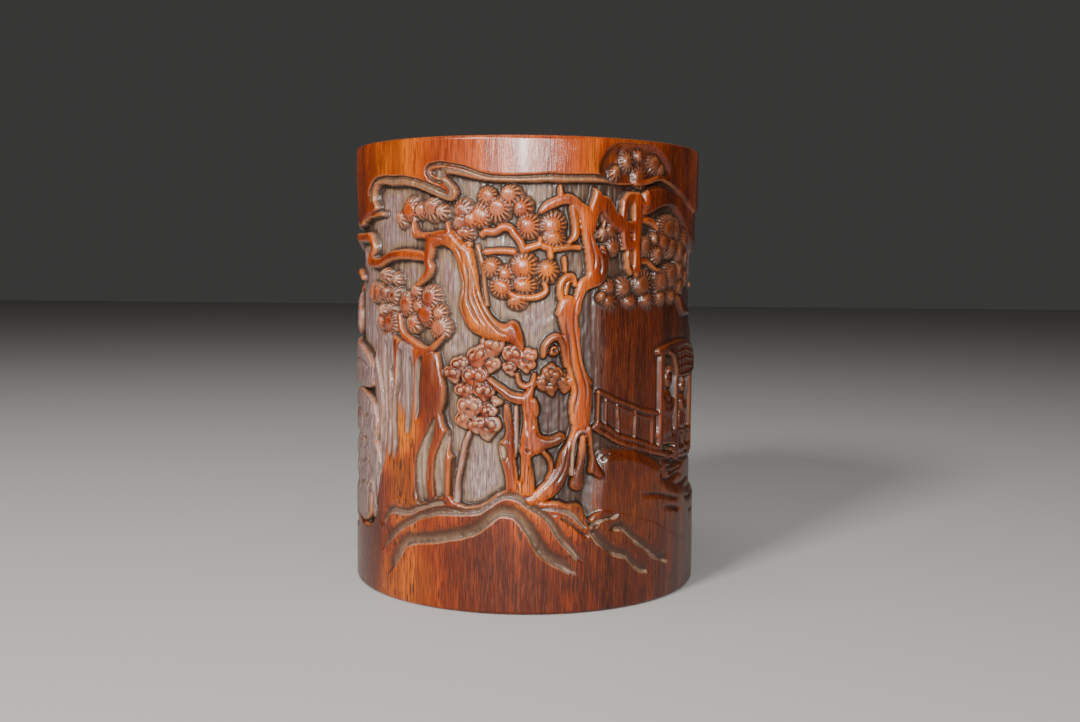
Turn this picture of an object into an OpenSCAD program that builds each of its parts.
/* [Culm] */
// Outside diameter of the bamboo wall
outer_d = 116; // [112:1:120]
// Height from the foot to the lip
height = 144.5; // [143:0.5:147]
// Thickness of the bamboo wall
wall = 9; // [8.5:0.5:10]
// Rounding of the lip and the foot
lip_r = 1.6; // [1.2:0.1:2]

/* [Carving] */
// Depth of the ground behind the raised carving
ground_depth = 3; // [2.6:0.1:3.4]
// Width of the cuts that part the rocks and outline the cloud ribbons
cut_w = 1.4; // [1.2:0.1:1.6]

/* [Foot] */
// Width of the step cut round the inside of the foot to hold the base board
rebate_w = 3; // [2.5:0.5:4]
// Thickness of the base board
board_t = 5; // [4:0.5:6]
// Height of the base board's underside above the foot
board_lift = 1; // [0.5:0.1:2]
// Glue gap around the edge of the base board
glue_gap = 0.1; // [0.05:0.05:0.2]
// Width of the lacquer bead under the edge of the base board
bead_w = 1.6; // [1.2:0.2:2]

/* [Hidden] */

outer_r = outer_d / 2;
bore_r = outer_r - wall;
rebate_r = bore_r + rebate_w;
board_r = rebate_r - glue_gap;
board_chamfer = 0.6;
well_floor = board_lift + board_t;

// The plain band starts at band_low, the solid rocks of the foot end at rock_high
band_low = 131;
rock_high = 24;
// No motif stands nearer to the lip than this
lip_margin = 4;
// Motifs are drawn out from this radius, well inside the wall
motif_root = 0.4 * outer_r;
// Lines thinner than twice this are dropped, since no gouge leaves them
gouge = 0.25;
// Sides of every full turn
sides = 180;

// ---------- drawing the carving ----------
// A motif's points are [azimuth in degrees, height in mm]. Azimuth 0 faces -Y and grows towards +X.
// Each motif is drawn flat as seen from its own centre, which is an azimuth, and then cut radially.

function flat(p, centre) = [outer_r * sin(p[0] - centre), p[1]];

module shape(points, centre) {
    polygon([for (p = points) flat(p, centre)]);
}

module disc(p, r, centre) {
    translate(flat(p, centre)) circle(r = r, $fn = 10);
}

module bar(a, b, w) {
    run = b - a;
    translate(a)
        rotate(atan2(run[1], run[0]))
            translate([0, -w / 2])
                square([norm(run), w]);
}

// A line of round-ended bars, tapering from w_start to w_end
module stroke(points, w_start, w_end, centre) {
    last = len(points) - 1;
    for (i = [0 : last]) {
        w = w_start + (w_end - w_start) * i / last;
        translate(flat(points[i], centre)) circle(d = w, $fn = 8);
        if (i < last) bar(flat(points[i], centre), flat(points[i + 1], centre), w);
    }
}

// ---------- motifs ----------

// The band's lower edge drops into a tongue at the left and a scroll's tail in the middle
tongue = [[-74, 136], [-74, 124], [-68, 118.5], [-57, 122.5], [-56.5, 129], [-50, 131], [-40, 130], [-32, 128],
    [-25, 125.5], [-22, 126], [-21, 129], [-24, 133], [-14, 134], [-14, 136]];
tongue_cut = [[-61, 129], [-57, 131.8], [-50, 133], [-40, 132.2], [-32, 130.4], [-24, 127.6]];
tail = [[-30, 137], [-30, 134], [-20, 132.6], [-10, 130.6], [0, 130.3], [20, 130.8], [38, 130], [38, 137]];
tail_cut = [[-31, 134], [-28, 136], [-20, 135], [-10, 132.7], [0, 132.2], [20, 132.8], [26, 132.8]];

left_rock_outline = [[-66, 20], [-58, 22], [-50, 30], [-43, 34], [-35, 32], [-23, 35.3], [-18, 32.5], [-11, 34.5],
    [-5, 38.3], [2, 35.5], [12, 28], [12, 4], [-66, 4]];
left_rock_cuts = [
    [[-52, 14], [-43, 21.5], [-36, 25], [-24, 28.5], [-13, 30.5], [-8, 33.5], [-3, 34.3], [3, 31], [9, 23]],
    [[-48, 8], [-42, 16], [-38, 20.5], [-28, 23], [-16, 26], [-8, 31.5], [-3, 31.5], [2, 25], [7, 19]]
];
right_rock_outline = [[-4, 5], [-4, 36], [3, 34.5], [17, 33.7], [20, 28.5], [25, 32], [31, 30.8], [40, 27],
    [50, 22], [64, 18], [64, 5]];
right_rock_cuts = [
    [[20, 26], [24, 22.5], [33, 17.5], [40, 12.5], [44, 11.5]],
    [[27, 27], [34, 24.5], [40, 20], [46, 16], [52, 13]]
];

left_pine_trunk = [
    [-22.5, 110], [-20.3, 105], [-19.5, 100], [-20, 94], [-18, 88], [-12.5, 84.5], [-5, 83.5], [-0.3, 81.5],
    [-2, 88.5], [-6, 88.7], [-12, 93], [-14.3, 98], [-15, 105], [-16, 111], [-19, 112.5], [-22, 116],
    [-35, 115.8], [-37.3, 119.5], [-37.5, 114.5], [-31, 113.2], [-25, 111.4]
];
left_pine_boughs = [
    [[-30, 112.5], [-31.3, 108], [-31, 104.5], [-34.6, 100.3]],
    [[-12, 116], [-7, 117], [-3, 115.5], [-0.5, 111]],
    [[-4, 97.2], [3, 96.3], [6.5, 98.5], [6, 100.3]]
];
cliff_twig = [[-43.5, 90], [-41, 84.5], [-33, 80.5], [-26, 84]];
upper_tufts = [
    [-38.5, 123, 3.7], [-29.5, 122.5, 4], [-19, 122.5, 3.5], [-13.5, 121, 4], [-8, 122.5, 4.3],
    [-4, 126, 3.6], [-11.5, 126, 3], [1.5, 117.5, 4], [8.5, 117, 4.4], [-18.5, 116, 3.6],
    [-10, 105.3, 3], [0, 106, 4.3], [7, 104.3, 3.6], [-7, 99.5, 3.6], [0.5, 101, 3.8], [-2, 95.5, 3]
];
cliff_tufts = [
    [-51, 102.3, 2.8], [-45.5, 101.5, 2.4], [-60, 97, 3.5], [-55, 97, 3.2], [-50.5, 96.7, 2.8],
    [-46, 96.5, 3], [-40, 93.7, 4], [-48.7, 88, 4], [-30.5, 95.8, 4], [-31.5, 91, 4.2], [-27, 87, 4]
];

right_pine_trunk = [
    [2, 36], [5, 38.5], [9, 40.5], [11.5, 44], [13, 48], [14.5, 53], [16, 57], [16.8, 62], [17.8, 68],
    [16, 74], [14.5, 82], [13.5, 92], [14.5, 98], [18, 101], [22, 104.5], [22.3, 109], [20, 115], [18, 122]
];
right_pine_boughs = [
    [[17, 122], [13.5, 126.8], [9, 125], [4.2, 122]],
    [[18, 122], [21.8, 125.5], [25, 125.5], [28, 120], [32, 119], [32.3, 113], [35.8, 112.5], [35.5, 104.8]],
    [[31, 122.5], [31.5, 127], [36, 127], [36, 118]],
    [[17.5, 57], [17.5, 48], [16.5, 39.5]],
    [[19.5, 57], [21, 50], [24.5, 42]],
    [[6.5, 79], [8, 83.5], [11, 83.5], [12.5, 78]]
];
right_tufts = [
    [28.5, 133.8, 2.6], [33, 137, 3], [38, 133, 3.6], [44, 137, 3.5], [27.5, 116.5, 3], [28, 112, 3.2],
    [41, 111.5, 4], [49, 113.8, 3.4], [52.5, 117.5, 5.5], [58, 116, 4.5], [60, 110.5, 4],
    [26.5, 99, 3], [32, 99, 3.4], [40.5, 100, 4.5], [48.5, 100.5, 4.5], [54.5, 102, 4.4], [36.5, 96, 2.6]
];

leaf_caps = [
    [-10.3, 81.8, 3.4], [-14.5, 78.3, 3.4], [-9.7, 77, 2], [-19, 75.5, 3], [-23.5, 73, 3.4],
    [-14.8, 72.5, 3.4], [-18.5, 68.5, 2.8], [-13, 67.5, 3], [-16.8, 62.5, 3.6], [-11.5, 62, 3.2],
    [-12.3, 58, 3.6], [-2.8, 78.3, 3], [1.2, 78.5, 2.2], [-1, 73.8, 3.2], [8, 73, 3.4], [12.5, 71.4, 2.3]
];
leaf_tree_limbs = [
    [[-10, 72], [-8.5, 70.5], [-3, 67.5], [1, 65], [1, 58], [2, 52], [1.8, 39]],
    [[0.5, 71], [0.8, 64]],
    [[3.5, 56], [8, 53], [11, 54]],
    [[-4.8, 64], [-4.3, 57], [-4.4, 50], [-3, 39]]
];

cliff_face = [
    [-57, 30], [-55, 81], [-48, 84], [-40, 81.5], [-28, 80], [-26.3, 75], [-25.2, 69], [-26.3, 61],
    [-24.5, 55], [-22.7, 47.5], [-22.5, 30], [-22.5, 20], [-57, 18]
];
cliff_cuts = [
    [[-43, 79.5], [-43.2, 70], [-45.2, 62], [-45.3, 45]],
    [[-38.4, 77], [-38.4, 58]],
    [[-34, 76], [-35, 60]],
    [[-55, 76], [-51.5, 66], [-50.5, 50]],
    [[-30, 56], [-33, 48], [-33, 35]],
    [[-24.2, 54], [-26.5, 46], [-26.3, 36]]
];
far_boulder = [
    [-90, 36], [-88, 60], [-80, 65], [-64, 64], [-57, 58], [-53, 42], [-57, 22], [-90, 20]
];
far_ledge = [[-92, 67], [-90, 80], [-72, 79], [-58, 74], [-58, 67]];
cloud_ribbons = [
    [[-96, 113], [-82, 114.5], [-60, 114.5], [-58.5, 111], [-60.5, 107], [-57, 106.3], [-50, 107.8],
        [-40, 109], [-32, 108.5]],
    [[-78, 120], [-62, 121.3], [-53, 121.3]]
];

river_bank = [
    [22, 20], [20, 40], [24, 47.5], [30, 49], [40, 47.5], [48, 44], [50, 41], [70, 38], [80, 30], [88, 20]
];
rails = [
    [[24, 67.5], [30, 65], [38, 62], [47, 60]],
    [[24, 57.3], [30, 54.3], [40, 50.5], [52, 47.2], [62, 45.5], [84, 44]]
];
posts = [[24, 57, 67.5], [26.5, 56, 66], [30.5, 54.5, 64.5], [37.3, 52, 62], [45, 49.5, 60.5], [49.3, 48, 78],
    [58.5, 46, 74], [71, 45, 72]];
pavilion_roof = [[46.5, 79], [47.5, 81.5], [74, 82], [76, 72], [60, 70.5], [54, 77]];
pavilion_base = [[46, 45], [46, 50.5], [74, 51.5], [74, 44]];
figure_robe = [[-2.6, 0], [-3, 6], [-2, 11], [0, 13.5], [2, 11], [2.8, 6], [2.6, 0]];
figure_centres = [[53, 51.5], [64.5, 52]];

module needles(list, centre) {
    for (n = list) disc([n[0], n[1]], n[2], centre);
}

// Smooths a drawing's narrow slivers away and pushes it out to one level below the outer surface
module relief(centre, level) {
    intersection() {
        rotate([0, 0, centre])
            rotate([90, 0, 0])
                translate([0, 0, motif_root])
                    linear_extrude(outer_r)
                        offset(delta = gouge)
                            offset(delta = -2 * gouge)
                                offset(delta = gouge)
                                    children();
        cylinder(r = outer_r - level, h = height - lip_margin, $fn = sides);
    }
}

module cloud_tongue() {
    relief(-44, 0.1) difference() {
        shape(tongue, -44);
        stroke(tongue_cut, cut_w, cut_w, -44);
    }
}

module cloud_tail() {
    relief(4, 0.2) difference() {
        shape(tail, 4);
        stroke(tail_cut, cut_w, cut_w, 4);
    }
}

module left_rocks() {
    relief(-28, 0.15) difference() {
        shape(left_rock_outline, -28);
        for (cut = left_rock_cuts) stroke(cut, 2 * cut_w, cut_w, -28);
    }
}

module right_rocks() {
    relief(30, 0.25) difference() {
        shape(right_rock_outline, 30);
        for (cut = right_rock_cuts) stroke(cut, 2 * cut_w, cut_w, 30);
    }
}

module left_pine() {
    relief(-15, 0.35) {
        shape(left_pine_trunk, -15);
        for (b = left_pine_boughs) stroke(b, 2.2, 1.4, -15);
    }
    relief(-10, 0.6) needles(upper_tufts, -10);
    relief(-43, 0.5) {
        needles(cliff_tufts, -43);
        stroke(cliff_twig, 1.8, 1.4, -43);
    }
}

module right_pine() {
    relief(18, 0.3) {
        stroke(right_pine_trunk, 5.2, 3.8, 18);
        for (b = right_pine_boughs) stroke(b, 2.8, 2, 18);
    }
    relief(44, 0.55) needles(right_tufts, 44);
}

module leaf_tree() {
    relief(-4, 0.8) {
        for (b = leaf_tree_limbs) stroke(b, 2.6, 3.6, -4);
        needles(leaf_caps, -4);
    }
}

module cliff() {
    relief(-40, 0.45) difference() {
        shape(cliff_face, -40);
        for (cut = cliff_cuts) stroke(cut, cut_w, cut_w, -40);
    }
}

module far_left() {
    relief(-76, 0.4) {
        shape(far_boulder, -76);
        shape(far_ledge, -76);
        stroke(cloud_ribbons[0], 2.6, 2.6, -76);
        stroke(cloud_ribbons[1], 1.6, 1.6, -76);
    }
}

module pavilion() {
    relief(52, 0.65) {
        shape(pavilion_roof, 52);
        shape(pavilion_base, 52);
        for (r = rails) stroke(r, 1.5, 2.6, 52);
        for (p = posts) stroke([[p[0], p[1]], [p[0], p[2]]], 1.6, 1.6, 52);
        for (f = figure_centres) {
            shape([for (p = figure_robe) f + p], 52);
            disc(f + [0, 15.2], 2.3, 52);
        }
    }
}

module bank() {
    relief(48, 1.5) shape(river_bank, 48);
}

module on_the_back(az) {
    rotate([0, 0, az]) mirror([1, 0, 0]) children();
}

module culm() {
    color("sienna") difference() {
        union() {
            rotate_extrude($fn = sides) solid_profile();
            cloud_tongue();
            cloud_tail();
            left_rocks();
            right_rocks();
            left_pine();
            right_pine();
            leaf_tree();
            cliff();
            far_left();
            pavilion();
            bank();
            on_the_back(168) right_pine();
            on_the_back(205) leaf_tree();
            on_the_back(205) cliff();
            on_the_back(205) left_rocks();
            on_the_back(205) left_pine();
            on_the_back(150) right_rocks();
        }
        rotate_extrude($fn = sides) well_profile();
    }
}

// Half section of the culm before it is hollowed: the ground lies back between the foot and the band
module solid_profile() {
    ground_r = outer_r - ground_depth;
    difference() {
        square([outer_r, height]);
        translate([ground_r, rock_high]) square([ground_depth + 1, band_low - rock_high]);
        translate([outer_r, height]) edge_cut();
        mirror([0, 1]) translate([outer_r, 0]) edge_cut();
    }
}

// Half section of the brush well, with the rebate for the board and a rounded inner lip
module well_profile() {
    translate([0, -1]) square([bore_r, height + 2]);
    translate([0, -1]) square([rebate_r, well_floor + 1]);
    translate([bore_r, height]) mirror([1, 0]) edge_cut();
}

// What rounding takes off a corner that points up and out
module edge_cut() {
    difference() {
        translate([-lip_r, -lip_r]) square(lip_r + 1);
        translate([-lip_r, -lip_r]) circle(r = lip_r, $fn = 48);
    }
}

module base_board() {
    color("saddlebrown")
        translate([0, 0, board_lift])
            rotate_extrude($fn = sides)
                polygon([
                    [0, 0],
                    [board_r - board_chamfer, 0],
                    [board_r, board_chamfer],
                    [board_r, board_t],
                    [0, board_t]
                ]);
}

// The bead fills the corner between the board's underside and the rebate, clear of the surface below
module lacquer_bead() {
    drop = 0.8 * board_lift;
    sag = 0.4;
    color("black")
        translate([0, 0, board_lift])
            rotate_extrude($fn = sides)
                polygon([
                    [rebate_r - bead_w, 0],
                    [rebate_r - sag * bead_w, -sag * drop],
                    [rebate_r, -drop],
                    [rebate_r, 0]
                ]);
}

culm();
base_board();
lacquer_bead();
